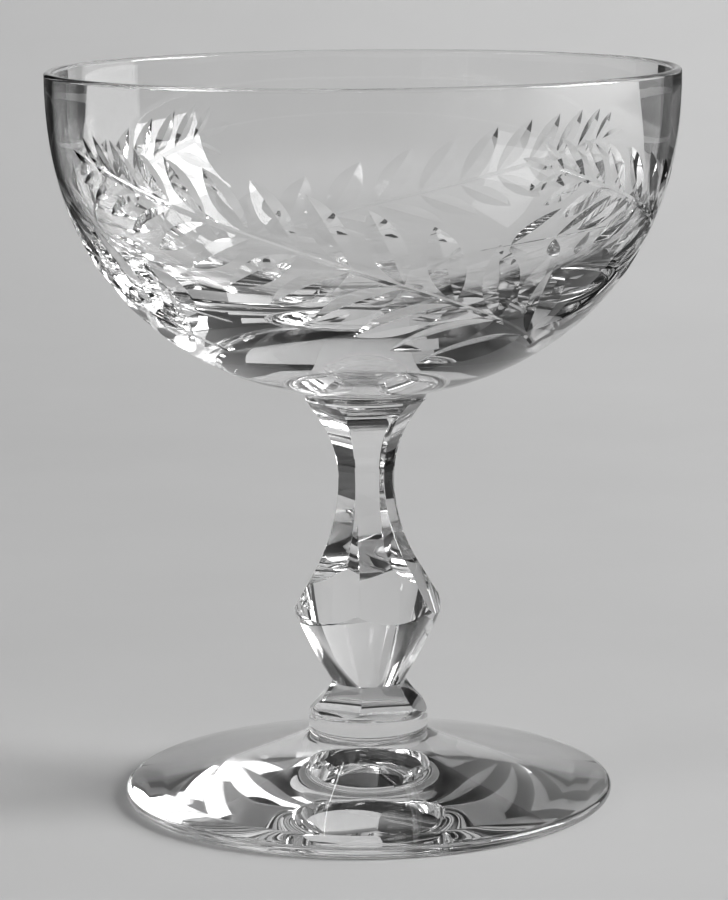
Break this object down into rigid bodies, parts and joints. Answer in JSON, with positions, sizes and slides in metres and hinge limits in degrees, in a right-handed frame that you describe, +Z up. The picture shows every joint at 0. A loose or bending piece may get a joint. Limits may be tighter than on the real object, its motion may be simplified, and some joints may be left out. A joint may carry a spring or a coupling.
{
  "type": "sherbet glass",
  "caption": "Clear cut-crystal sherbet glass: wide round bowl with cut leaf sprays, panelled stem with a sharp girdle, fluted base knop and conical foot, for serving ices or sparkling wine.",
  "frame": {"origin": "centre of the foot's ground ring, on the surface that the glass stands on", "axes": "+Z up along the glass's axis; the side shown in the picture faces -Y"},
  "size_m": [0.1006, 0.1006, 0.118],
  "materials": {
    "bowl_crystal": "polished, with polished leaf cuts",
    "collar_crystal": "fire-polished",
    "stem_crystal": "cut and polished panels",
    "knop_crystal": "cut and polished flutes",
    "foot_crystal": "fire-polished, with a ground ring below"
  },
  "bodies": {
    "root": {"bowl": "bowl_crystal", "collar": "collar_crystal", "stem": "stem_crystal", "base_knop": "knop_crystal", "foot": "foot_crystal"}
  },
  "joints": []
}
